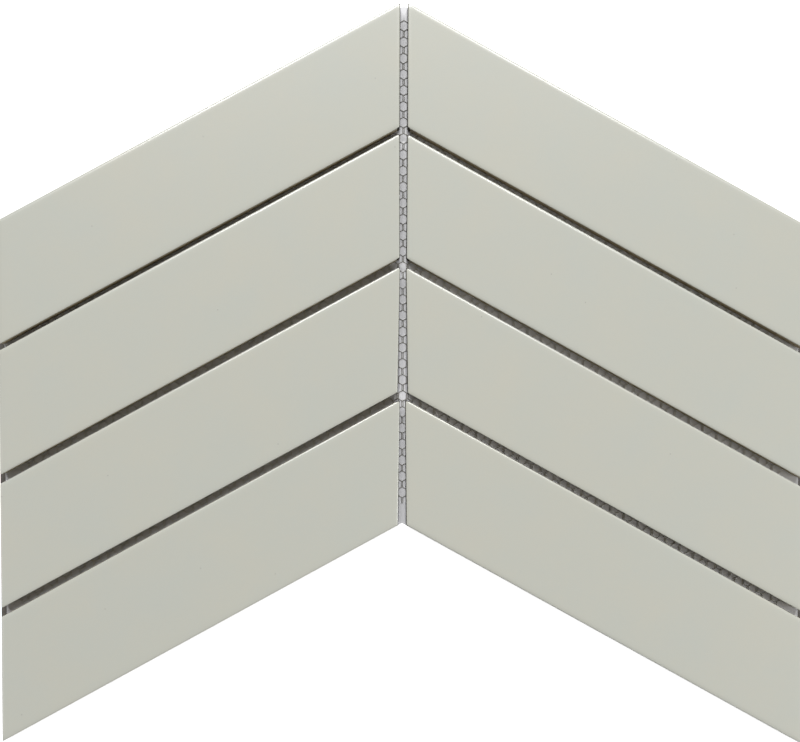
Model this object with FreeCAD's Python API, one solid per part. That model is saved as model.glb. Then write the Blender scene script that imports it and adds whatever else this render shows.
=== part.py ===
import FreeCAD, Part
import os
from math import ceil, cos, pi, radians, sin, sqrt, tan

# Sheet of chevron wall tiles: rows of mirrored glazed tiles bonded face up on one hexagonal net.
# The sheet lies on its net. X runs across it, Y points to the chevron's apex and Z is out of the face.
# The origin is the middle of the sheet's outline, at the underside of the net.

# Sizes of the sheet and of its tiles, in millimetres and degrees
SHEET_WIDTH = 300.0
TILE_SIDE = 46.3            # length of an upright end of a tile
CHEVRON_ANGLE = 28.8        # slope of the long edges
LEFT_LEAN = 0.75            # angle by which the outer ends of the left half lean in towards the foot
TILE_THICKNESS = 6.0
CORNER_RADIUS = 0.4         # of the upright corners
CUSHION_RADIUS = 4.2        # large radius by which the face starts to fall towards its edges
CUSHION_TURN = 16.0         # angle through which it falls before the small radius takes over
EDGE_RADIUS = 0.3           # small radius by which the face turns down into the side

# Keying grooves pressed into the back of a tile, along its long edges
GROOVE_COUNT = 5
GROOVE_SHARE = 0.45         # part of the groove pitch that is cut away
GROOVE_DEPTH = 0.5
GROOVE_MARGIN = 5.0         # plain border left around the grooves

# Joints along the long edges, as clear widths square to them, from the apex down. Tiles are never set
# quite evenly, so each half of the sheet has its own.
LEFT_JOINTS = [2.1, 2.95, 2.9]
RIGHT_JOINTS = [2.3, 2.95, 2.6]
# Widths of the centre joint at the top and at the foot of each row, as pressed ends are never quite true
END_JOINTS = [(2.85, 2.85), (2.85, 2.45), (2.15, 3.65), (1.95, 3.05)]

# Backing net
NET_THICKNESS = 0.4
NET_CELL = 3.5              # pitch of the hexagonal openings across their flats
NET_STRAND = 0.6            # width of the net left between two openings
NET_OFFSET = 3.75           # height of one opening on the centre line, from where the net was cut
NET_INSET = 4.6             # the net stops this far inside the outline of the sheet
NET_OPEN_MARGIN = 0.5       # an opening is cut where its centre lies within this much of a joint's edge

# Sizes that follow
SLOPE = tan(radians(CHEVRON_ANGLE))
SECANT = 1.0 / cos(radians(CHEVRON_ANGLE))
ROWS = len(END_JOINTS)
HALF_WIDTH = SHEET_WIDTH / 2.0
# The halves of the sheet lie on these sides of its centre line
LEFT = -1
RIGHT = 1
LONG_JOINTS = {LEFT: LEFT_JOINTS, RIGHT: RIGHT_JOINTS}
OUTER_LEAN = {LEFT: tan(radians(LEFT_LEAN)), RIGHT: 0.0}
WIDEST_JOINT = max(max(ends) for ends in END_JOINTS)
FACE_Z = NET_THICKNESS + TILE_THICKNESS
TURN = radians(CUSHION_TURN)
EDGE_WIDTH = EDGE_RADIUS + (CUSHION_RADIUS - EDGE_RADIUS) * sin(TURN)
EDGE_DROP = CUSHION_RADIUS - (CUSHION_RADIUS - EDGE_RADIUS) * cos(TURN)
UP = FreeCAD.Vector(0, 0, 1)


def row_depth(side, row):
    """How far the top edge of a row of tiles lies below the crest of the sheet."""
    return row * TILE_SIDE + sum(LONG_JOINTS[side][:row]) * SECANT


def half_depth(side):
    """How far the foot of the last row of one half lies below the crest of the sheet."""
    return row_depth(side, ROWS - 1) + TILE_SIDE


def outer_end(side, depth):
    """Distance of an outer end from the centre line, on an edge at this depth below the crest."""
    lean = OUTER_LEAN[side]
    return HALF_WIDTH - depth * lean / (1.0 + lean * SLOPE)


def lowest_corner(side):
    """How far the lowest corner of one half lies below the crest of the sheet."""
    depth = half_depth(side)
    return depth + outer_end(side, depth) * SLOPE


# The crest is where the top edges of the two halves, produced, meet on the centre line. The topmost
# corners lie a little below it, and the outline between them and the lowest one is centred.
TOP_DEPTH = END_JOINTS[0][0] / 2.0 * SLOPE
FOOT_DEPTH = max(lowest_corner(LEFT), lowest_corner(RIGHT))
SHEET_CREST = (FOOT_DEPTH + TOP_DEPTH) / 2.0


def parallelogram(side, near_top, near_foot, far_top, far_foot, crest, upright):
    """Corners of a parallelogram with upright ends, anticlockwise from above.

    near_top and near_foot are the distances of the inner end from the centre line at its top and
    foot, and far_top and far_foot are those of the outer end. crest is the height at which the upper
    edge, produced, meets the centre line, and upright is the length of the ends.
    """
    corners = [
        FreeCAD.Vector(side * near_top, crest - near_top * SLOPE, 0),
        FreeCAD.Vector(side * near_foot, crest - near_foot * SLOPE - upright, 0),
        FreeCAD.Vector(side * far_foot, crest - far_foot * SLOPE - upright, 0),
        FreeCAD.Vector(side * far_top, crest - far_top * SLOPE, 0),
    ]
    return corners[::side]


def rounded_face(corners, radius):
    """Flat face through the corners, each of them rounded to the radius."""
    count = len(corners)
    arcs = []
    for index, corner in enumerate(corners):
        back = (corners[index - 1] - corner).normalize()
        ahead = (corners[(index + 1) % count] - corner).normalize()
        half_angle = back.getAngle(ahead) / 2.0
        bisector = (back + ahead).normalize()
        setback = radius / tan(half_angle)
        crown = radius / sin(half_angle) - radius
        arcs.append((corner + back * setback, corner + bisector * crown, corner + ahead * setback))
    edges = []
    for index, (start, middle, end) in enumerate(arcs):
        edges.append(Part.Arc(start, middle, end).toShape())
        edges.append(Part.makeLine(end, arcs[(index + 1) % count][0]))
    return Part.Face(Part.Wire(edges))


def polygon_face(corners):
    """Flat face through the corners."""
    return Part.Face(Part.makePolygon(corners + corners[:1]))


def edge_section(base, inward):
    """Face across one edge of a tile: all that lies outside the two arcs of its cushioned edge.

    base is a point on the line of the edge at height zero, and inward points into the tile.
    """
    def on_arc(inset, height, radius, turn):
        return base + inward * (inset - radius * sin(turn)) + UP * (height + radius * cos(turn))

    def arc(inset, height, radius, first, last):
        turns = (first, (first + last) / 2.0, last)
        return Part.Arc(*[on_arc(inset, height, radius, turn) for turn in turns]).toShape()

    cushion = arc(EDGE_WIDTH, FACE_Z - CUSHION_RADIUS, CUSHION_RADIUS, 0.0, TURN)
    nose = arc(EDGE_RADIUS, FACE_Z - EDGE_DROP, EDGE_RADIUS, TURN, pi / 2.0)
    brow = base + inward * EDGE_WIDTH + UP * FACE_Z
    foot = base + UP * (FACE_Z - EDGE_DROP)
    away = inward * -EDGE_WIDTH
    lift = UP * EDGE_WIDTH
    outside = Part.makePolygon([foot, foot + away, brow + away * 2.0 + lift, brow + lift, brow])
    return Part.Face(Part.Wire([cushion, nose] + outside.Edges))


def edge_cutters(corners):
    """Long blocks that cushion every edge of a tile's face, mitred at the corners."""
    cutters = []
    for index, end in enumerate(corners):
        start = corners[index - 1]
        along = (end - start).normalize()
        # Each block runs past the tile at both ends
        spare = 2.0 * EDGE_WIDTH
        section = edge_section(start - along * spare, UP.cross(along))
        cutters.append(section.extrude(along * ((end - start).Length + 2.0 * spare)))
    return cutters


def groove_cutters(side, end, crest):
    """Long blocks that cut the keying grooves into the back of a tile whose outer end is at end."""
    near = WIDEST_JOINT / 2.0 + GROOVE_MARGIN
    far = end - GROOVE_MARGIN
    field_crest = crest - GROOVE_MARGIN * SECANT
    pitch = (TILE_SIDE - 2.0 * GROOVE_MARGIN * SECANT) / GROOVE_COUNT
    width = pitch * GROOVE_SHARE
    cutters = []
    for index in range(GROOVE_COUNT):
        groove_crest = field_crest - index * pitch - (pitch - width) / 2.0
        face = polygon_face(parallelogram(side, near, near, far, far, groove_crest, width))
        # Each block starts below the back, so that no skin is left over its groove
        face.translate(UP * (NET_THICKNESS - GROOVE_DEPTH))
        cutters.append(face.extrude(UP * (2.0 * GROOVE_DEPTH)))
    return cutters


def make_tile(side, row):
    """One pressed and glazed tile, standing on the net."""
    depth = row_depth(side, row)
    crest = SHEET_CREST - depth
    near_top, near_foot = [joint / 2.0 for joint in END_JOINTS[row]]
    far_top, far_foot = [outer_end(side, level) for level in (depth, depth + TILE_SIDE)]
    corners = parallelogram(side, near_top, near_foot, far_top, far_foot, crest, TILE_SIDE)
    outline = rounded_face(corners, CORNER_RADIUS)
    outline.translate(UP * NET_THICKNESS)
    body = outline.extrude(UP * TILE_THICKNESS)
    return body.cut(edge_cutters(corners) + groove_cutters(side, far_foot, crest))


def net_shape():
    """Half width of the net, and the heights of its upper and lower edges on the centre line."""
    half = HALF_WIDTH - NET_INSET
    upper = SHEET_CREST - NET_INSET * SECANT
    lower = SHEET_CREST - min(half_depth(LEFT), half_depth(RIGHT)) + NET_INSET * SECANT
    return half, upper, lower


def shows_in_joint(x, y):
    """True where the centre of an opening lies in a joint, or within the margin of its edge."""
    if abs(x) < WIDEST_JOINT / 2.0 + NET_OPEN_MARGIN:
        return True
    side = RIGHT if x > 0 else LEFT
    for row, joint in enumerate(LONG_JOINTS[side], start=1):
        middle = SHEET_CREST - row_depth(side, row) + (joint / 2.0) * SECANT - abs(x) * SLOPE
        if abs(y - middle) < (joint / 2.0 + NET_OPEN_MARGIN) * SECANT:
            return True
    return False


def inside_net(x, y, margin):
    """True where a point lies inside the outline of the net by the margin."""
    half, upper, lower = net_shape()
    fall = abs(x) * SLOPE
    low = lower - fall + margin * SECANT
    high = upper - fall - margin * SECANT
    return abs(x) < half - margin and low < y < high


def net_openings():
    """Outlines of the hexagonal openings that show in the joints, with corners up and down."""
    radius = (NET_CELL - NET_STRAND) / sqrt(3.0)
    row_step = NET_CELL * sqrt(3.0) / 2.0
    rows = ceil(SHEET_CREST / row_step)
    columns = ceil(HALF_WIDTH / NET_CELL)
    turns = [pi / 2.0 + step * pi / 3.0 for step in range(7)]
    openings = []
    for row in range(-rows, rows + 1):
        y = NET_OFFSET + row * row_step
        for column in range(-columns, columns + 1):
            x = (column + 0.5 * (row % 2)) * NET_CELL
            if shows_in_joint(x, y) and inside_net(x, y, radius + NET_STRAND):
                centre = FreeCAD.Vector(x, y, 0)
                rays = [FreeCAD.Vector(cos(turn), sin(turn), 0) for turn in turns]
                openings.append(Part.makePolygon([centre + ray * radius for ray in rays]))
    return openings


def make_net():
    """The net as a thin sheet under the tiles, open where its cells show in the joints."""
    half, upper, lower = net_shape()
    fall = half * SLOPE
    corners = [
        FreeCAD.Vector(0, upper, 0),
        FreeCAD.Vector(-half, upper - fall, 0),
        FreeCAD.Vector(-half, lower - fall, 0),
        FreeCAD.Vector(0, lower, 0),
        FreeCAD.Vector(half, lower - fall, 0),
        FreeCAD.Vector(half, upper - fall, 0),
    ]
    outline = Part.makePolygon(corners + corners[:1])
    face = Part.makeFace([outline] + net_openings(), "Part::FaceMakerBullseye")
    return face.extrude(UP * NET_THICKNESS)


os.makedirs("parts", exist_ok=True)
for side, name in ((LEFT, "left"), (RIGHT, "right")):
    for row in range(ROWS):
        make_tile(side, row).exportStep(f"parts/tile_{name}_{row + 1}.step")
make_net().exportStep("parts/backing_net.step")
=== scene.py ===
"""Looks of a net-backed sheet of chevron wall tiles, seen from straight above on a white table."""
import logging
import math
from dataclasses import dataclass
from enum import Enum
from typing import Any

import bmesh
import bpy
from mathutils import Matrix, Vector


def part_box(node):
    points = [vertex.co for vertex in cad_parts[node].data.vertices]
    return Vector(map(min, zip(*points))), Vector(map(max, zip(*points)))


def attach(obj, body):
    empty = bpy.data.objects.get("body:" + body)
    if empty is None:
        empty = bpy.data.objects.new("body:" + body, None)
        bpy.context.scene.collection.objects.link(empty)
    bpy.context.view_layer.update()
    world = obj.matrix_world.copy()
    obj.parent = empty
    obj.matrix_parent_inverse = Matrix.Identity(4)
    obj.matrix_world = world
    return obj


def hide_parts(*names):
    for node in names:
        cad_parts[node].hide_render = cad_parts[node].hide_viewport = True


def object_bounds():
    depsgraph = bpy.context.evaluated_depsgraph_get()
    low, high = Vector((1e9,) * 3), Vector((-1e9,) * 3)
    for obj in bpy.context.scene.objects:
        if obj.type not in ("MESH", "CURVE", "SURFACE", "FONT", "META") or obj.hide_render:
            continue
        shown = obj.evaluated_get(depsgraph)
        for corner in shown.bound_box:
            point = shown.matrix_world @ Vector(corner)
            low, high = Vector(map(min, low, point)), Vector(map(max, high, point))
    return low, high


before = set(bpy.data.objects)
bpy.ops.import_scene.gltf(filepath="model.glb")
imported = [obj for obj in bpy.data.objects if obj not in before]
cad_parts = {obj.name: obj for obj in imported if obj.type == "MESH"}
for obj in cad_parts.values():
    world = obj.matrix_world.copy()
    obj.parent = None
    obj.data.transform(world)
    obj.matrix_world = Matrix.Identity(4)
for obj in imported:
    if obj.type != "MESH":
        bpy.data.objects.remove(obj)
CAD_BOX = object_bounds()

log = logging.getLogger("chevron_sheet")

MM = 0.001
BODY = "root"

# Angle of the long edges, shared by the tiles, the net and the shade on the table
CHEVRON_ANGLE = math.radians(28.8)
SLOPE = math.tan(CHEVRON_ANGLE)
SECANT = 1.0 / math.cos(CHEVRON_ANGLE)


def linear(code: str) -> tuple[float, float, float, float]:
    """Turn an sRGB hex colour into the linear colour that shaders take.

    Args:
        code: colour such as "#CBCBC1".

    Returns:
        Linear red, green, blue and an alpha of 1.
    """
    shares = [int(code[start:start + 2], 16) / 255.0 for start in (1, 3, 5)]
    # The curve of the sRGB standard: straight near black and a power above it
    red, green, blue = [s / 12.92 if s <= 0.04045 else ((s + 0.055) / 1.055) ** 2.4 for s in shares]
    return red, green, blue, 1.0


def add_node(
    tree: bpy.types.NodeTree, kind: str, inputs: dict[str | int, Any] | None = None, **settings: Any,
) -> bpy.types.Node:
    """Add a node to a tree, set it up and link its inputs.

    Args:
        tree: shader or geometry tree that takes the node.
        kind: the node's type name.
        inputs: socket name or number to a value, an output socket, or a list of output sockets.
        settings: properties of the node itself.

    Returns:
        The new node.
    """
    node = tree.nodes.new(kind)
    for name, value in settings.items():
        setattr(node, name, value)
    for key, value in (inputs or {}).items():
        sources = value if isinstance(value, list) else [value]
        for source in sources:
            if isinstance(source, bpy.types.NodeSocket):
                tree.links.new(source, node.inputs[key])
            else:
                node.inputs[key].default_value = source
    return node


def seen_rays(tree: bpy.types.NodeTree) -> bpy.types.NodeSocket:
    """Add a switch for rays that make a surface seen, straight, in a gloss or through glass.

    Args:
        tree: shader tree that takes the nodes.

    Returns:
        A socket that is 1 for such rays and 0 for those that only carry light.
    """
    ray = add_node(tree, "ShaderNodeLightPath").outputs
    direct = add_node(tree, "ShaderNodeMath", {
        0: ray["Is Camera Ray"], 1: ray["Is Glossy Ray"],
    }, operation="MAXIMUM").outputs[0]
    return add_node(tree, "ShaderNodeMath", {
        0: direct, 1: ray["Is Transmission Ray"],
    }, operation="MAXIMUM").outputs[0]


def new_material(name: str) -> tuple[bpy.types.Material, bpy.types.NodeTree]:
    """Make an empty node material.

    Args:
        name: name of the finish.

    Returns:
        The material and its emptied node tree.
    """
    material = bpy.data.materials.new(name)
    material.use_nodes = True
    material.node_tree.nodes.clear()
    return material, material.node_tree


def new_piece(name: str, mesh: bpy.types.Mesh, node: str) -> bpy.types.Object:
    """Put a finished mesh into the scene in place of a CAD node.

    Args:
        name: name of the piece.
        mesh: the finished mesh, already in place.
        node: CAD node that the piece stands for.

    Returns:
        The new object.
    """
    piece = bpy.data.objects.new(name, mesh)
    bpy.context.scene.collection.objects.link(piece)
    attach(piece, BODY)
    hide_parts(node)
    return piece


class Side(Enum):
    """Half of the sheet that a tile belongs to."""

    LEFT = -1
    RIGHT = 1


@dataclass(frozen=True)
class SatinGlaze:
    """Satin glaze fired on a pressed porcelain body.

    The face is an even, warm light grey with faint clouds, and its clear top gives a soft sheen and a
    light line along the edges. The glaze ends on the sides, where the chalky beige body shows, as it
    does on the back. Near the centre line the inner ends' walls and noses are painted near black, a
    painted shade for the shade between the tiles.
    """

    name: str = "satin_glazed_porcelain"
    glaze_cool: str = "#C3C5BA"
    glaze_warm: str = "#C7C6B8"
    speck: str = "#A9A89E"
    body_pale: str = "#BFB59D"
    body_deep: str = "#ABA189"
    # Near-black painted shade on the inner ends, for the shade between the tiles
    painted_end_shade: str = "#3A362E"
    glaze_roughness: float = 0.5
    body_roughness: float = 0.9
    under_ior: float = 1.3
    clear_ior: float = 1.95
    clear_roughness: float = 0.28
    cloud_size: float = 24.0 * MM
    grain_size: float = 1.5 * MM
    grain_share: float = 0.35
    drift_low: float = 0.45
    drift_high: float = 0.95
    speck_pitch: float = 34.0 * MM
    speck_radius: float = 0.3 * MM
    speck_core: float = 0.12 * MM
    speck_lot: float = 0.6
    ripple_size: float = 9.0 * MM
    ripple_height: float = 0.012 * MM
    glaze_foot: float = 5.4 * MM
    glaze_full: float = 6.2 * MM
    glaze_rag: float = 0.6 * MM
    # Reach of the painted shade from the centre line, and the heights over which its top fades into the
    # glaze
    painted_shade_reach: float = 2.4 * MM
    painted_shade_top_low: float = 6.06 * MM
    painted_shade_top_high: float = 6.14 * MM

    def material(self) -> bpy.types.Material:
        """Build the material.

        Returns:
            A material that reads Object coordinates, in which the table is at height zero.
        """
        material, tree = new_material(self.name)
        place = add_node(tree, "ShaderNodeTexCoord").outputs["Object"]
        clouds = add_node(tree, "ShaderNodeTexNoise", {
            "Vector": place, "Scale": 1.0 / self.cloud_size, "Detail": 3.0, "Roughness": 0.55,
        }).outputs["Fac"]
        grain = add_node(tree, "ShaderNodeTexNoise", {
            "Vector": place, "Scale": 1.0 / self.grain_size, "Detail": 2.0, "Roughness": 0.6,
        }).outputs["Fac"]
        drift = add_node(tree, "ShaderNodeMath", {
            0: grain, 1: self.grain_share, 2: clouds,
        }, operation="MULTIPLY_ADD").outputs[0]
        blend = add_node(tree, "ShaderNodeMapRange", {
            "Value": drift, "From Min": self.drift_low, "From Max": self.drift_high,
        }).outputs[0]
        tone = add_node(tree, "ShaderNodeMix", {
            "Factor": blend, "A": linear(self.glaze_cool), "B": linear(self.glaze_warm),
        }, data_type="RGBA").outputs["Result"]

        # Rare pin-sized specks: one candidate to each cell, of which the random ones above the limit show
        cells = add_node(tree, "ShaderNodeTexVoronoi", {
            "Vector": place, "Scale": 1.0 / self.speck_pitch,
        }, voronoi_dimensions="2D")
        near = add_node(tree, "ShaderNodeMapRange", {
            "Value": cells.outputs["Distance"],
            "From Min": self.speck_radius / self.speck_pitch,
            "From Max": self.speck_core / self.speck_pitch,
        }).outputs[0]
        lot = add_node(tree, "ShaderNodeSeparateColor", {"Color": cells.outputs["Color"]}).outputs[0]
        shown = add_node(tree, "ShaderNodeMath", {
            0: lot, 1: self.speck_lot,
        }, operation="GREATER_THAN").outputs[0]
        specks = add_node(tree, "ShaderNodeMath", {0: near, 1: shown}, operation="MULTIPLY").outputs[0]
        face = add_node(tree, "ShaderNodeMix", {
            "Factor": specks, "A": tone, "B": linear(self.speck),
        }, data_type="RGBA").outputs["Result"]

        body = add_node(tree, "ShaderNodeMix", {
            "Factor": grain, "A": linear(self.body_deep), "B": linear(self.body_pale),
        }, data_type="RGBA").outputs["Result"]
        # Painted shade: near the centre line the inner ends' walls and noses take a near-black colour up to
        # just under the face, for the shade between the tiles
        spot = add_node(tree, "ShaderNodeSeparateXYZ", {"Vector": place}).outputs
        height = spot["Z"]
        across = add_node(tree, "ShaderNodeMath", {0: spot["X"]}, operation="ABSOLUTE").outputs[0]
        outside_painted_shade = add_node(tree, "ShaderNodeMath", {
            0: across, 1: self.painted_shade_reach,
        }, operation="GREATER_THAN").outputs[0]
        body_or_painted_shade = add_node(tree, "ShaderNodeMix", {
            "Factor": outside_painted_shade, "A": linear(self.painted_end_shade), "B": body,
        }, data_type="RGBA").outputs["Result"]
        above_painted_shade = add_node(tree, "ShaderNodeMapRange", {
            "Value": height, "From Min": self.painted_shade_top_low, "From Max": self.painted_shade_top_high,
        }).outputs[0]
        may_cover = add_node(tree, "ShaderNodeMath", {
            0: above_painted_shade, 1: outside_painted_shade,
        }, operation="MAXIMUM").outputs[0]
        ragged = add_node(tree, "ShaderNodeMath", {
            0: grain, 1: self.glaze_rag, 2: height,
        }, operation="MULTIPLY_ADD").outputs[0]
        run = add_node(tree, "ShaderNodeMapRange", {
            "Value": ragged, "From Min": self.glaze_foot, "From Max": self.glaze_full,
        }, interpolation_type="SMOOTHSTEP").outputs[0]
        cover = add_node(tree, "ShaderNodeMath", {0: run, 1: may_cover}, operation="MULTIPLY").outputs[0]
        colour = add_node(tree, "ShaderNodeMix", {
            "Factor": cover, "A": body_or_painted_shade, "B": face,
        }, data_type="RGBA").outputs["Result"]
        roughness = add_node(tree, "ShaderNodeMapRange", {
            "Value": cover, "To Min": self.body_roughness, "To Max": self.glaze_roughness,
        }).outputs[0]

        ripples = add_node(tree, "ShaderNodeTexNoise", {
            "Vector": place, "Scale": 1.0 / self.ripple_size, "Detail": 3.0, "Roughness": 0.5,
        }).outputs["Fac"]
        bump = add_node(tree, "ShaderNodeBump", {
            "Height": ripples, "Strength": 1.0, "Distance": self.ripple_height,
        }).outputs["Normal"]
        # The clear top of the glaze carries the sheen
        shader = add_node(tree, "ShaderNodeBsdfPrincipled", {
            "Base Color": colour, "Roughness": roughness, "IOR": self.under_ior, "Normal": bump,
            "Coat Weight": cover, "Coat Roughness": self.clear_roughness, "Coat IOR": self.clear_ior,
        })
        add_node(tree, "ShaderNodeOutputMaterial", {"Surface": shader.outputs["BSDF"]})
        return material


@dataclass(frozen=True)
class KnittedThread:
    """Thin sized thread of a knitted net: dull, pale and slightly fuzzy.

    Glue has soaked and bleached it under the tiles, so that it hardly shows in the row joints. Along the
    centre joint it is bare and greyer than the table.
    """

    name: str = "sized_knitted_thread"
    pale: str = "#C2BFB6"
    deep: str = "#9C9991"
    soaked: str = "#E9E8E4"
    bare_reach: float = 4.0 * MM
    roughness: float = 0.85
    fibre_size: float = 0.35 * MM
    fibre_height: float = 0.04 * MM

    def material(self) -> bpy.types.Material:
        """Build the material.

        Returns:
            A material whose fibres are drawn as a fine noise.
        """
        material, tree = new_material(self.name)
        place = add_node(tree, "ShaderNodeTexCoord").outputs["Object"]
        fibres = add_node(tree, "ShaderNodeTexNoise", {
            "Vector": place, "Scale": 1.0 / self.fibre_size, "Detail": 2.0, "Roughness": 0.6,
        }).outputs["Fac"]
        colour = add_node(tree, "ShaderNodeMix", {
            "Factor": fibres, "A": linear(self.deep), "B": linear(self.pale),
        }, data_type="RGBA").outputs["Result"]
        spot = add_node(tree, "ShaderNodeSeparateXYZ", {"Vector": place}).outputs
        across = add_node(tree, "ShaderNodeMath", {0: spot["X"]}, operation="ABSOLUTE").outputs[0]
        glued = add_node(tree, "ShaderNodeMath", {
            0: across, 1: self.bare_reach,
        }, operation="GREATER_THAN").outputs[0]
        thread = add_node(tree, "ShaderNodeMix", {
            "Factor": glued, "A": colour, "B": linear(self.soaked),
        }, data_type="RGBA").outputs["Result"]
        bump = add_node(tree, "ShaderNodeBump", {
            "Height": fibres, "Strength": 1.0, "Distance": self.fibre_height,
        }).outputs["Normal"]
        shader = add_node(tree, "ShaderNodeBsdfPrincipled", {
            "Base Color": thread, "Roughness": self.roughness, "Normal": bump,
        })
        add_node(tree, "ShaderNodeOutputMaterial", {"Surface": shader.outputs["BSDF"]})
        return material


@dataclass
class GlazedTile:
    """One parallelogram tile, built as rings from the foot of its side to the flat of its face."""

    node: str
    side: Side
    near_top: float
    near_foot: float
    far_top: float
    far_foot: float
    crest: float
    upright: float
    back_z: float
    face_z: float
    corner_radius: float = 0.4 * MM
    corner_growth: float = 0.8
    inner_draft: float = 0.03 * MM
    # Tilt of the cushion at the edge, and the length over which it falls by the factor e
    cushion_turn: float = math.radians(33.0)
    cushion_fall: float = 0.52 * MM
    edge_radius: float = 0.28 * MM
    # Number of these lengths that are followed before the flat
    cushion_falls: float = 5.0
    foot_chamfer: float = 0.25 * MM
    cushion_steps: int = 20
    edge_steps: int = 7
    corner_steps: int = 6
    groove_count: int = 5
    groove_share: float = 0.45
    groove_depth: float = 0.5 * MM
    groove_margin: float = 5.0 * MM
    # How far the foot of the inner end stands out from its top, row by row
    inner_leans: tuple[float, ...] = (0.0, -0.2 * MM, 0.75 * MM, 0.55 * MM)
    # Angle by which the outer ends of the left half lean in towards the foot
    left_lean: float = math.radians(0.75)

    @classmethod
    def from_frame(cls, node: str) -> "GlazedTile":
        """Read a tile's place and size from its CAD node.

        Args:
            node: name of the CAD node.

        Returns:
            The tile, fitted to the node's box.
        """
        low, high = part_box(node)
        side = Side.LEFT if low.x + high.x < 0.0 else Side.RIGHT
        near, far_top = sorted((abs(low.x), abs(high.x)))
        lean = cls.inner_leans[int(node[-1]) - 1]
        near_top = near + max(-lean, 0.0)
        # A rounded acute corner ends this much short of the corner itself
        short = cls.corner_radius * (SLOPE + SECANT - 1.0)
        crest = high.y + short + near_top * SLOPE
        foot = low.y - short
        outer_lean = math.tan(cls.left_lean) if side is Side.LEFT else 0.0
        far_foot = far_top - outer_lean * (crest - far_top * SLOPE - foot)
        return cls(
            node=node,
            side=side,
            near_top=near_top,
            near_foot=near + max(lean, 0.0),
            far_top=far_top,
            far_foot=far_foot,
            crest=crest,
            upright=crest - far_foot * SLOPE - foot,
            back_z=low.z,
            face_z=high.z,
        )

    def corners(
        self, near_top: float, near_foot: float, far_top: float, far_foot: float,
        crest: float, upright: float,
    ) -> list[Vector]:
        """Corners of a parallelogram of this half of the sheet, anticlockwise from above.

        Args:
            near_top: distance of the top of the inner end from the centre line.
            near_foot: distance of the foot of the inner end from the centre line.
            far_top: distance of the top of the outer end from the centre line.
            far_foot: distance of the foot of the outer end from the centre line.
            crest: height at which the top edge, produced, meets the centre line.
            upright: length of the ends.

        Returns:
            Four points at height zero.
        """
        sign = self.side.value
        points = [
            Vector((sign * near_top, crest - near_top * SLOPE, 0.0)),
            Vector((sign * near_foot, crest - near_foot * SLOPE - upright, 0.0)),
            Vector((sign * far_foot, crest - far_foot * SLOPE - upright, 0.0)),
            Vector((sign * far_top, crest - far_top * SLOPE, 0.0)),
        ]
        return points[::sign]

    def ring(self, inset: float, height: float) -> list[Vector]:
        """Outline of the tile at one height, with rounded corners.

        Args:
            inset: how far the outline is moved in from the side.
            height: height of the ring.

        Returns:
            Points anticlockwise from above, as many in every ring.
        """
        # The inner ends draw in a little towards the face
        draft = self.inner_draft * (height - self.back_z) / (self.face_z - self.back_z)
        corners = self.corners(
            self.near_top + inset + draft,
            self.near_foot + inset + draft,
            self.far_top - inset,
            self.far_foot - inset,
            self.crest - inset * SECANT,
            self.upright - 2.0 * inset * SECANT,
        )
        # The cushion's corners grow rounder towards the flat, so that no crease runs in from them
        radius = self.corner_radius + self.corner_growth * inset
        points = []
        for index, corner in enumerate(corners):
            back = (corners[index - 1] - corner).normalized()
            ahead = (corners[(index + 1) % len(corners)] - corner).normalized()
            half_angle = back.angle(ahead) / 2.0
            centre = corner + (back + ahead).normalized() * (radius / math.sin(half_angle))
            start = corner + back * (radius / math.tan(half_angle)) - centre
            sweep = math.pi - 2.0 * half_angle
            for step in range(self.corner_steps + 1):
                turn = sweep * step / self.corner_steps
                spoke = Vector((
                    start.x * math.cos(turn) - start.y * math.sin(turn),
                    start.x * math.sin(turn) + start.y * math.cos(turn),
                    height,
                ))
                points.append(Vector((centre.x, centre.y, 0.0)) + spoke)
        return points

    def drop(self, tilt: float) -> float:
        """Depth of the cushion below the flat at a tilt: its slope as a series, summed from there on."""
        return self.cushion_fall * (tilt + tilt ** 3 / 9.0)

    def section(self) -> list[tuple[float, float]]:
        """Section of the edge from the back up to the flat of the face.

        Returns:
            Inset and height of each ring.
        """
        rings = [(self.foot_chamfer, self.back_z), (0.0, self.back_z + self.foot_chamfer)]
        nose = self.face_z - self.drop(self.cushion_turn) - self.edge_radius * math.cos(self.cushion_turn)
        for step in range(self.edge_steps + 1):
            turn = math.pi / 2.0 + (self.cushion_turn - math.pi / 2.0) * step / self.edge_steps
            rings.append((
                self.edge_radius * (1.0 - math.sin(turn)),
                nose + self.edge_radius * math.cos(turn),
            ))
        # The cushion is followed until little of its tilt is left, and the flat starts there
        start = rings[-1][0]
        for step in range(1, self.cushion_steps + 1):
            falls = self.cushion_falls * step / self.cushion_steps
            turn = self.cushion_turn * math.exp(-falls)
            rings.append((start + falls * self.cushion_fall, self.face_z - self.drop(turn)))
        rings.append((rings[-1][0] + self.cushion_fall, self.face_z))
        return rings

    def add_grooves(self, shape: bmesh.types.BMesh) -> list[bmesh.types.BMEdge]:
        """Press the keying grooves into the back.

        Args:
            shape: mesh that takes the grooves' sides and floors.

        Returns:
            The mouths' edges, which the back is filled around.
        """
        near = max(self.near_top, self.near_foot) + self.groove_margin
        far = self.far_foot - self.groove_margin
        crest = self.crest - self.groove_margin * SECANT
        pitch = (self.upright - 2.0 * self.groove_margin * SECANT) / self.groove_count
        width = pitch * self.groove_share
        mouths = []
        for index in range(self.groove_count):
            top = crest - index * pitch - (pitch - width) / 2.0
            corners = self.corners(near, near, far, far, top, width)
            mouth = [shape.verts.new((p.x, p.y, self.back_z)) for p in corners]
            floor = [shape.verts.new((p.x, p.y, self.back_z + self.groove_depth)) for p in corners]
            shape.faces.new(floor)
            for first in range(len(mouth)):
                second = (first + 1) % len(mouth)
                side = shape.faces.new((mouth[first], mouth[second], floor[second], floor[first]))
                mouths.append(side.edges[0])
        return mouths

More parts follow.
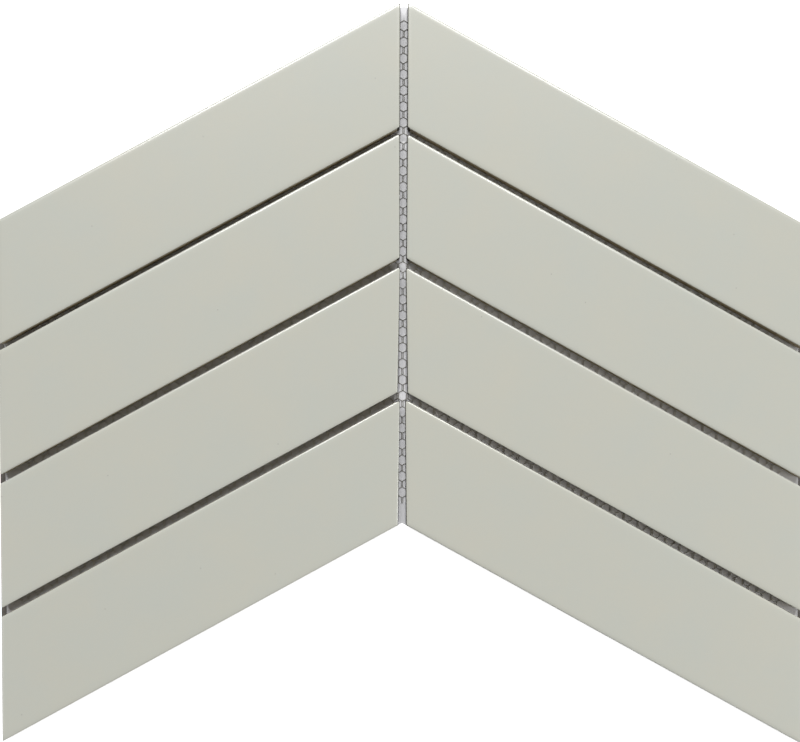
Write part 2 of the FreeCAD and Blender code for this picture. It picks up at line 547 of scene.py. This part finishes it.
    def build(self) -> bpy.types.Mesh:
        """Build the tile's mesh.

        Returns:
            A closed mesh in its place on the sheet.
        """
        shape = bmesh.new()
        rings = [[shape.verts.new(p) for p in self.ring(inset, height)] for inset, height in self.section()]
        for lower, upper in zip(rings, rings[1:]):
            for first in range(len(lower)):
                second = (first + 1) % len(lower)
                face = shape.faces.new((lower[first], lower[second], upper[second], upper[first]))
                face.smooth = lower is not rings[0]
        shape.faces.new(rings[-1]).smooth = True
        foot = [shape.edges.get((rings[0][first - 1], rings[0][first])) for first in range(len(rings[0]))]
        bmesh.ops.triangle_fill(shape, use_beauty=True, edges=foot + self.add_grooves(shape))
        bmesh.ops.recalc_face_normals(shape, faces=shape.faces)
        mesh = bpy.data.meshes.new(self.node)
        shape.to_mesh(mesh)
        shape.free()
        return mesh

    def dress(self, finish: bpy.types.Material) -> bpy.types.Object:
        """Build the tile, glaze it and put it on the sheet.

        Args:
            finish: the fired finish.

        Returns:
            The finished piece.
        """
        mesh = self.build()
        mesh.materials.append(finish)
        return new_piece(f"glazed_{self.node}", mesh, self.node)


@dataclass
class BackingNet:
    """Knitted hexagonal net under the tiles, made by a geometry tree."""

    half_width: float
    half_height: float
    upper: float
    lower: float
    node: str = "backing_net"
    cell: float = 3.5 * MM
    offset: float = 3.75 * MM
    thickness: float = 0.4 * MM
    strand_width: float = 0.28 * MM
    warp: float = 0.25 * MM
    warp_size: float = 14.0 * MM
    thread_sides: int = 4
    # Distance of a link's two threads from its middle, in strand widths
    thread_spread: float = 0.9
    # How far the middles of the links stay inside the top and lower edges, in strand lengths
    top_cut: float = 0.65
    lower_cut: float = 0.6

    @classmethod
    def from_frame(cls) -> "BackingNet":
        """Read the net's outline from its CAD node, whose lowest corners are its outer ones."""
        low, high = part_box(cls.node)
        return cls(
            half_width=high.x,
            half_height=max(high.y, -low.y),
            upper=high.y,
            lower=low.y + high.x * SLOPE,
        )

    def tree(self) -> bpy.types.NodeTree:
        """Build the tree that lays the strands of the net.

        A link of two threads side by side stands at each point of a staggered grid, and single threads
        lead from its top to the feet of the next links, which closes the hexagons.

        Returns:
            A geometry tree with named inputs.
        """
        tree = bpy.data.node_groups.new("hexagonal_net", "GeometryNodeTree")
        for name in (
            "Cell", "Offset", "Strand Width", "Thickness", "Half Width", "Half Height",
            "Upper", "Lower", "Slope", "Warp", "Warp Size",
        ):
            tree.interface.new_socket(name=name, in_out="INPUT", socket_type="NodeSocketFloat")
        tree.interface.new_socket(name="Finish", in_out="INPUT", socket_type="NodeSocketMaterial")
        tree.interface.new_socket(name="Net", in_out="OUTPUT", socket_type="NodeSocketGeometry")
        size = add_node(tree, "NodeGroupInput").outputs

        # Grid of link positions, every other row moved by half a cell
        step = add_node(tree, "ShaderNodeMath", {
            0: size["Cell"], 1: math.sqrt(0.75),
        }, operation="MULTIPLY").outputs[0]
        strand = add_node(tree, "ShaderNodeMath", {
            0: size["Cell"], 1: math.sqrt(3.0),
        }, operation="DIVIDE").outputs[0]
        spans = {}
        for axis, extent, pitch in (
            ("X", size["Half Width"], size["Cell"]),
            ("Y", size["Half Height"], step),
        ):
            count = add_node(tree, "ShaderNodeMath", {0: extent, 1: pitch}, operation="DIVIDE").outputs[0]
            whole = add_node(tree, "ShaderNodeMath", {0: count}, operation="CEIL").outputs[0]
            twice = add_node(tree, "ShaderNodeMath", {0: whole, 1: 2.0}, operation="MULTIPLY").outputs[0]
            spans[f"Size {axis}"] = add_node(tree, "ShaderNodeMath", {
                0: twice, 1: pitch,
            }, operation="MULTIPLY").outputs[0]
            spans[f"Vertices {axis}"] = add_node(tree, "ShaderNodeMath", {
                0: twice, 1: 1.0,
            }, operation="ADD").outputs[0]
        grid = add_node(tree, "GeometryNodeMeshGrid", spans).outputs["Mesh"]
        here = add_node(tree, "GeometryNodeInputPosition").outputs[0]
        level = add_node(tree, "ShaderNodeSeparateXYZ", {0: here}).outputs["Y"]
        share = add_node(tree, "ShaderNodeMath", {0: level, 1: step}, operation="DIVIDE").outputs[0]
        row = add_node(tree, "ShaderNodeMath", {0: share}, operation="ROUND").outputs[0]
        next_row = add_node(tree, "ShaderNodeMath", {0: row, 1: 1.0}, operation="ADD").outputs[0]
        odd = add_node(tree, "ShaderNodeMath", {0: next_row, 1: 2.0}, operation="FLOORED_MODULO").outputs[0]
        half_cell = add_node(tree, "ShaderNodeMath", {
            0: size["Cell"], 1: 0.5,
        }, operation="MULTIPLY").outputs[0]
        shift = add_node(tree, "ShaderNodeMath", {0: odd, 1: half_cell}, operation="MULTIPLY").outputs[0]
        middle = add_node(tree, "ShaderNodeMath", {
            0: size["Thickness"], 1: 0.5,
        }, operation="MULTIPLY").outputs[0]
        move = add_node(tree, "ShaderNodeCombineXYZ", {0: shift, 1: size["Offset"], 2: middle}).outputs[0]
        places = add_node(tree, "GeometryNodeSetPosition", {"Geometry": grid, "Offset": move}).outputs[0]

        # Cut the net to the chevron
        spot = add_node(tree, "ShaderNodeSeparateXYZ", {0: here}).outputs
        across = add_node(tree, "ShaderNodeMath", {0: spot["X"]}, operation="ABSOLUTE").outputs[0]
        crest = add_node(tree, "ShaderNodeMath", {
            0: across, 1: size["Slope"], 2: spot["Y"],
        }, operation="MULTIPLY_ADD").outputs[0]
        top = add_node(tree, "ShaderNodeMath", {
            0: strand, 1: -self.top_cut, 2: size["Upper"],
        }, operation="MULTIPLY_ADD").outputs[0]
        foot = add_node(tree, "ShaderNodeMath", {
            0: strand, 1: self.lower_cut, 2: size["Lower"],
        }, operation="MULTIPLY_ADD").outputs[0]
        edge = add_node(tree, "ShaderNodeMath", {
            0: size["Half Width"], 1: strand,
        }, operation="SUBTRACT").outputs[0]
        over = add_node(tree, "ShaderNodeMath", {0: crest, 1: top}, operation="GREATER_THAN").outputs[0]
        under = add_node(tree, "ShaderNodeMath", {0: crest, 1: foot}, operation="LESS_THAN").outputs[0]
        beside = add_node(tree, "ShaderNodeMath", {0: across, 1: edge}, operation="GREATER_THAN").outputs[0]
        beyond = add_node(tree, "ShaderNodeMath", {0: over, 1: under}, operation="MAXIMUM").outputs[0]
        outside = add_node(tree, "ShaderNodeMath", {0: beyond, 1: beside}, operation="MAXIMUM").outputs[0]
        kept = add_node(tree, "GeometryNodeDeleteGeometry", {
            "Geometry": places, "Selection": outside,
        }).outputs[0]

        # Threads of one link and of the two strands above it
        radius = add_node(tree, "ShaderNodeMath", {
            0: size["Strand Width"], 1: 0.5,
        }, operation="MULTIPLY").outputs[0]
        half_strand = add_node(tree, "ShaderNodeMath", {0: strand, 1: 0.5}, operation="MULTIPLY").outputs[0]
        low_end = add_node(tree, "ShaderNodeMath", {
            0: half_strand, 1: -1.0,
        }, operation="MULTIPLY").outputs[0]
        fork = add_node(tree, "ShaderNodeCombineXYZ", {1: half_strand}).outputs[0]
        threads = []
        for hand in (-1.0, 1.0):
            aside = add_node(tree, "ShaderNodeMath", {
                0: size["Strand Width"], 1: self.thread_spread * hand,
            }, operation="MULTIPLY").outputs[0]
            reach = add_node(tree, "ShaderNodeMath", {
                0: half_cell, 1: hand,
            }, operation="MULTIPLY").outputs[0]
            foot_end = add_node(tree, "ShaderNodeCombineXYZ", {0: aside, 1: low_end}).outputs[0]
            head_end = add_node(tree, "ShaderNodeCombineXYZ", {0: aside, 1: half_strand}).outputs[0]
            next_foot = add_node(tree, "ShaderNodeCombineXYZ", {0: reach, 1: strand}).outputs[0]
            for start, end in ((foot_end, head_end), (fork, next_foot)):
                line = add_node(tree, "GeometryNodeCurvePrimitiveLine", {"Start": start, "End": end})
                threads.append(line.outputs[0])
        paths = add_node(tree, "GeometryNodeJoinGeometry", {0: threads}).outputs[0]
        round_thread = add_node(tree, "GeometryNodeCurvePrimitiveCircle", {
            "Resolution": self.thread_sides, "Radius": radius,
        }).outputs[0]
        thin = add_node(tree, "GeometryNodeCurveToMesh", {
            "Curve": paths, "Profile Curve": round_thread,
        }).outputs[0]
        # Glue stands the threads up to the full thickness of the net
        stand = add_node(tree, "ShaderNodeMath", {
            0: size["Thickness"], 1: size["Strand Width"],
        }, operation="DIVIDE").outputs[0]
        stretch = add_node(tree, "ShaderNodeCombineXYZ", {0: 1.0, 1: 1.0, 2: stand}).outputs[0]
        knot = add_node(tree, "GeometryNodeTransform", {"Geometry": thin, "Scale": stretch}).outputs[0]
        laid = add_node(tree, "GeometryNodeInstanceOnPoints", {"Points": kept, "Instance": knot}).outputs[0]
        whole_net = add_node(tree, "GeometryNodeRealizeInstances", {0: laid}).outputs[0]

        # A knitted net never lies quite true
        fineness = add_node(tree, "ShaderNodeMath", {
            0: 1.0, 1: size["Warp Size"],
        }, operation="DIVIDE").outputs[0]
        sway = add_node(tree, "ShaderNodeTexNoise", {
            "Vector": here, "Scale": fineness, "Detail": 1.0,
        }).outputs["Color"]
        level_sway = add_node(tree, "ShaderNodeVectorMath", {
            0: sway, 1: (0.5, 0.5, 0.5),
        }, operation="SUBTRACT").outputs[0]
        flat_sway = add_node(tree, "ShaderNodeVectorMath", {
            0: level_sway, 1: (2.0, 2.0, 0.0),
        }, operation="MULTIPLY").outputs[0]
        pull = add_node(tree, "ShaderNodeVectorMath", {
            0: flat_sway, "Scale": size["Warp"],
        }, operation="SCALE").outputs[0]
        swayed = add_node(tree, "GeometryNodeSetPosition", {
            "Geometry": whole_net, "Offset": pull,
        }).outputs[0]
        soft = add_node(tree, "GeometryNodeSetShadeSmooth", {0: swayed}).outputs[0]
        dyed = add_node(tree, "GeometryNodeSetMaterial", {
            "Geometry": soft, "Material": size["Finish"],
        }).outputs[0]
        add_node(tree, "NodeGroupOutput", {"Net": dyed})
        return tree

    def dress(self, finish: bpy.types.Material) -> bpy.types.Object:
        """Lay the net and put it under the tiles.

        Args:
            finish: the thread's finish.

        Returns:
            The finished piece, as a plain mesh.
        """
        tree = self.tree()
        values = {
            "Cell": self.cell,
            "Offset": self.offset,
            "Strand Width": self.strand_width,
            "Thickness": self.thickness,
            "Half Width": self.half_width,
            "Half Height": self.half_height,
            "Upper": self.upper,
            "Lower": self.lower,
            "Slope": SLOPE,
            "Warp": self.warp,
            "Warp Size": self.warp_size,
            "Finish": finish,
        }
        loom = bpy.data.objects.new("net_loom", bpy.data.meshes.new("net_loom"))
        bpy.context.scene.collection.objects.link(loom)
        lay = loom.modifiers.new("lay", "NODES")
        lay.node_group = tree
        for item in tree.interface.items_tree:
            if item.in_out == "INPUT":
                lay[item.identifier] = values[item.name]
        laid = loom.evaluated_get(bpy.context.evaluated_depsgraph_get())
        mesh = bpy.data.meshes.new_from_object(laid)
        bpy.data.objects.remove(loom)
        return new_piece("knitted_net", mesh, self.node)


@dataclass
class Studio:
    """White table, soft light from the chevron's apex side and a camera straight above."""

    crest: float
    notch: float
    table_size: float = 3.0
    table_colour: str = "#F0F0F3"
    # Colour of the painted shade in a narrow strip of paper along the sheet's ends
    painted_strip_shade: str = "#7A7772"
    table_glow: float = 0.88
    # The glow starts this far outside the sheet's ends, where their tops hide its start from above
    glow_margin: float = 1.95 * MM
    # Painted light on the floor seen between the tiles: it fades in from the apex over this length, from
    # the mouth's level down to the joint's level
    painted_light_fade: float = 7.5 * MM
    painted_light_in_mouth: float = 0.36
    painted_light_in_joint: float = 0.22
    # Distances from the centre line between which the painted light in the joint fades out towards its
    # walls
    painted_light_core: float = 0.9 * MM
    painted_light_edge: float = 1.3 * MM
    # How far below the notch of the lowest row the glow starts
    notch_drop: float = 0.75 * MM
    # Lamps, with distances in metres and power in watts
    key_distance: float = 3.4
    key_elevation: float = math.radians(47.0)
    key_azimuth: float = math.radians(-2.0)
    key_width: float = 1.2
    key_height: float = 0.35
    key_power: float = 53.0
    rim_azimuth: float = CHEVRON_ANGLE
    rim_elevation: float = math.radians(52.0)
    rim_width: float = 0.5
    left_rim_power: float = 22.0
    right_rim_power: float = 20.0
    fill_distance: float = 2.0
    fill_elevation: float = math.radians(35.0)
    fill_azimuth: float = math.radians(108.0)
    fill_size: float = 0.8
    right_fill_power: float = 11.0
    left_fill_power: float = 2.0
    room_colour: str = "#FFFFFF"
    sky_strength: float = 0.04
    # Camera, with the lens in millimetres and its turns in radians
    lens: float = 50.0
    sensor: float = 36.0
    camera_height: float = 0.41892
    camera_x: float = -6.62 * MM
    camera_y: float = 0.2 * MM
    camera_tilt_x: float = 0.00172
    camera_tilt_y: float = -0.01358
    camera_roll: float = 0.00371

    def table(self) -> None:
        """Lay the table top."""
        half = self.table_size / 2.0
        corners = [(-half, -half, 0.0), (half, -half, 0.0), (half, half, 0.0), (-half, half, 0.0)]
        mesh = bpy.data.meshes.new("table")
        mesh.from_pydata(corners, [], [(0, 1, 2, 3)])
        mesh.materials.append(self.table_material())
        table = bpy.data.objects.new("table", mesh)
        bpy.context.scene.collection.objects.link(table)

    def table_material(self) -> bpy.types.Material:
        """White paper that looks pure white around the sheet and keeps its shadow.

        Returns:
            The table's material, which glows only where it is seen: fully around the sheet, and weakly in
            its centre joint, where the glow is painted light on the floor between the tiles; not elsewhere
            under it.
        """
        material, tree = new_material("white_table_paper")
        seen = seen_rays(tree)
        place = add_node(tree, "ShaderNodeTexCoord").outputs["Object"]
        spot = add_node(tree, "ShaderNodeSeparateXYZ", {0: place}).outputs
        across = add_node(tree, "ShaderNodeMath", {0: spot["X"]}, operation="ABSOLUTE").outputs[0]
        crest = add_node(tree, "ShaderNodeMath", {
            0: across, 1: SLOPE, 2: spot["Y"],
        }, operation="MULTIPLY_ADD").outputs[0]
        # The left half's outer ends lean in from their top, and the glow starts as far outside them
        edge = CAD_BOX[1].x + self.glow_margin
        lean = math.tan(GlazedTile.left_lean)
        lean_foot = edge - lean * (self.crest - CAD_BOX[1].x * SLOPE)
        leftward = add_node(tree, "ShaderNodeMath", {
            0: spot["Y"], 1: -lean, 2: -lean_foot,
        }, operation="MULTIPLY_ADD").outputs[0]
        # Painted light: below the apex a weaker glow fades to a faint one along the centre joint, on the
        # floor between the tiles, and fades out towards the joint's walls
        above = add_node(tree, "ShaderNodeMath", {
            0: crest, 1: self.crest,
        }, operation="GREATER_THAN").outputs[0]
        mouth = add_node(tree, "ShaderNodeMapRange", {
            "Value": crest, "From Min": self.crest - self.painted_light_fade, "From Max": self.crest,
            "To Min": self.painted_light_in_joint, "To Max": self.painted_light_in_mouth,
        }).outputs[0]
        central = add_node(tree, "ShaderNodeMapRange", {
            "Value": across, "From Min": self.painted_light_edge, "From Max": self.painted_light_core,
        }).outputs[0]
        joint = add_node(tree, "ShaderNodeMath", {0: mouth, 1: central}, operation="MULTIPLY").outputs[0]
        over = add_node(tree, "ShaderNodeMath", {0: above, 1: joint}, operation="MAXIMUM").outputs[0]
        under = add_node(tree, "ShaderNodeMath", {
            0: crest, 1: self.notch - self.notch_drop,
        }, operation="LESS_THAN").outputs[0]
        left = add_node(tree, "ShaderNodeMath", {
            0: spot["X"], 1: leftward,
        }, operation="LESS_THAN").outputs[0]
        right = add_node(tree, "ShaderNodeMath", {
            0: spot["X"], 1: edge,
        }, operation="GREATER_THAN").outputs[0]
        beside = add_node(tree, "ShaderNodeMath", {0: left, 1: right}, operation="MAXIMUM").outputs[0]
        beyond = add_node(tree, "ShaderNodeMath", {0: over, 1: under}, operation="MAXIMUM").outputs[0]
        outside = add_node(tree, "ShaderNodeMath", {0: beyond, 1: beside}, operation="MAXIMUM").outputs[0]
        # Painted shade: a narrow darker strip of paper lies along the ends of the sheet, up to the glow,
        # for the shade in the row joints' mouths
        left_end = add_node(tree, "ShaderNodeMath", {
            0: leftward, 1: self.glow_margin,
        }, operation="ADD").outputs[0]
        by_left = add_node(tree, "ShaderNodeMath", {
            0: spot["X"], 1: left_end,
        }, operation="LESS_THAN").outputs[0]
        by_right = add_node(tree, "ShaderNodeMath", {
            0: spot["X"], 1: CAD_BOX[1].x,
        }, operation="GREATER_THAN").outputs[0]
        by_end = add_node(tree, "ShaderNodeMath", {0: by_left, 1: by_right}, operation="MAXIMUM").outputs[0]
        painted_strip_mask = add_node(tree, "ShaderNodeMath", {
            0: by_end, 1: outside,
        }, operation="SUBTRACT", use_clamp=True).outputs[0]
        tint = add_node(tree, "ShaderNodeMix", {
            "Factor": painted_strip_mask, "A": linear(self.table_colour), "B": linear(self.painted_strip_shade),
        }, data_type="RGBA").outputs["Result"]
        # The glow is the white backdrop around the sheet plus the painted light in the centre joint
        glow = add_node(tree, "ShaderNodeMath", {0: seen, 1: outside}, operation="MULTIPLY").outputs[0]
        strength = add_node(tree, "ShaderNodeMath", {
            0: glow, 1: self.table_glow,
        }, operation="MULTIPLY").outputs[0]
        paper = add_node(tree, "ShaderNodeBsdfDiffuse", {"Color": tint}).outputs[0]
        light = add_node(tree, "ShaderNodeEmission", {"Strength": strength}).outputs[0]
        both = add_node(tree, "ShaderNodeAddShader", {0: paper, 1: light}).outputs[0]
        add_node(tree, "ShaderNodeOutputMaterial", {"Surface": both})
        return material

    def lamp(
        self, name: str, azimuth: float, elevation: float, distance: float,
        width: float, height: float, power: float,
    ) -> None:
        """Hang a soft box that faces the middle of the sheet.

        Args:
            name: name of the lamp.
            azimuth: direction seen from above, clockwise from the apex.
            elevation: height of the lamp above the table, as an angle.
            distance: distance from the middle of the sheet.
            width: level side of the box.
            height: rising side of the box.
            power: power in watts.
        """
        data = bpy.data.lights.new(name, "AREA")
        data.shape = "RECTANGLE"
        data.size = width
        data.size_y = height
        data.energy = power
        towards = Vector((
            math.sin(azimuth) * math.cos(elevation),
            math.cos(azimuth) * math.cos(elevation),
            math.sin(elevation),
        ))
        lamp = bpy.data.objects.new(name, data)
        lamp.location = towards * distance
        lamp.rotation_euler = towards.to_track_quat("Z", "Y").to_euler()
        bpy.context.scene.collection.objects.link(lamp)

    def light(self) -> None:
        """Hang the lamps and give the room its even light.

        The key shines down the centre joint, the rims square onto the long edges of one half each, and
        the fills along the row joints.
        """
        for name, azimuth, elevation, width, power in (
            ("key", self.key_azimuth, self.key_elevation, self.key_width, self.key_power),
            ("left_rim", -self.rim_azimuth, self.rim_elevation, self.rim_width, self.left_rim_power),
            ("right_rim", self.rim_azimuth, self.rim_elevation, self.rim_width, self.right_rim_power),
        ):
            self.lamp(name, azimuth, elevation, self.key_distance, width, self.key_height, power)
        for name, azimuth, power in (
            ("left_fill", -self.fill_azimuth, self.left_fill_power),
            ("right_fill", self.fill_azimuth, self.right_fill_power),
        ):
            self.lamp(
                name, azimuth, self.fill_elevation, self.fill_distance,
                self.fill_size, self.fill_size, power,
            )
        world = bpy.data.worlds.new("room")
        world.use_nodes = True
        tree = world.node_tree
        tree.nodes.clear()
        strength = add_node(tree, "ShaderNodeMapRange", {
            "Value": seen_rays(tree), "To Min": self.sky_strength, "To Max": 1.0,
        }).outputs[0]
        sky = add_node(tree, "ShaderNodeBackground", {
            "Color": linear(self.room_colour), "Strength": strength,
        }).outputs[0]
        add_node(tree, "ShaderNodeOutputWorld", {"Surface": sky})
        bpy.context.scene.world = world

    def camera(self) -> None:
        """Set the camera above the sheet, with the apex at the top of the picture."""
        data = bpy.data.cameras.new("camera")
        data.lens = self.lens
        data.sensor_width = self.sensor
        camera = bpy.data.objects.new("camera", data)
        camera.location = (self.camera_x, self.camera_y, self.camera_height)
        camera.rotation_euler = (self.camera_tilt_x, self.camera_tilt_y, self.camera_roll)
        bpy.context.scene.collection.objects.link(camera)
        bpy.context.scene.camera = camera

    def build(self) -> None:
        """Set up the table, the light, the camera and a plain view transform."""
        self.table()
        self.light()
        self.camera()
        bpy.context.scene.view_settings.view_transform = "Standard"


def main() -> None:
    """Build every piece of the sheet and the studio around it."""
    logging.basicConfig(level=logging.INFO, format="%(name)s: %(message)s")
    glaze = SatinGlaze().material()
    tiles = [GlazedTile.from_frame(node) for node in sorted(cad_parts) if node.startswith("tile_")]
    for tile in tiles:
        piece = tile.dress(glaze)
        log.info("%s: %d faces", piece.name, len(piece.data.polygons))
    net = BackingNet.from_frame().dress(KnittedThread().material())
    log.info("%s: %d faces", net.name, len(net.data.polygons))
    Studio(
        crest=max(tile.crest for tile in tiles),
        notch=min(tile.crest - tile.upright for tile in tiles),
    ).build()


if __name__ == "__main__":
    main()
